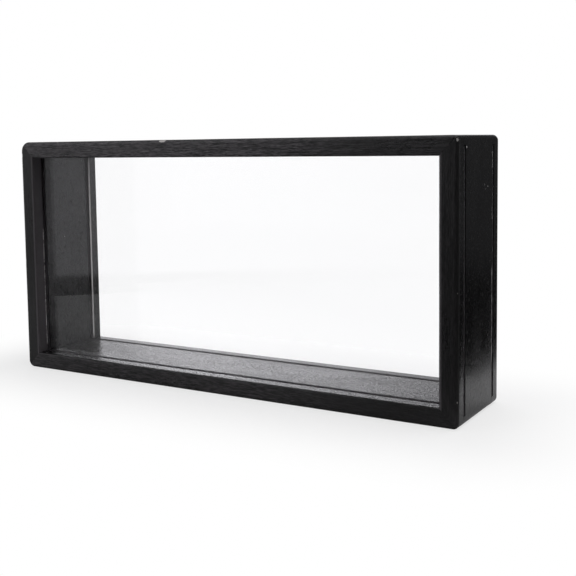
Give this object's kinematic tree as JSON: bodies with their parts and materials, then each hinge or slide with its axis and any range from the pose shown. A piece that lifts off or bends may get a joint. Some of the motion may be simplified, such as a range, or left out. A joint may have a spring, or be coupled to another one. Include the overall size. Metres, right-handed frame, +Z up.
{
  "type": "shadow box frame",
  "caption": "Deep black wooden display frame, open between two clear panes, which slide out through slots in one side.",
  "frame": {"origin": "middle of the underside that the frame stands on", "axes": "+X along the frame towards the slotted end, +Y from the front to the back, +Z up"},
  "size_m": [0.26, 0.054, 0.129],
  "materials": {
    "black_wood": "satin",
    "clear_sheet": "gloss",
    "brad_steel": "satin"
  },
  "bodies": {
    "frame": {"top_rail": "black_wood", "bottom_rail": "black_wood", "left_stile": "black_wood", "right_stile": "black_wood", "brads_top_left": "brad_steel", "brads_top_right": "brad_steel", "brads_bottom_left": "brad_steel", "brads_bottom_right": "brad_steel"},
    "front_pane": {"front_pane": "clear_sheet"},
    "rear_pane": {"rear_pane": "clear_sheet"}
  },
  "joints": [
    {"name": "front_pane_slide", "type": "slide", "parent": "frame", "child": "front_pane", "axis": [1, 0, 0], "range_m": [0, 0.255]},
    {"name": "rear_pane_slide", "type": "slide", "parent": "frame", "child": "rear_pane", "axis": [1, 0, 0], "range_m": [0, 0.255]}
  ]
}
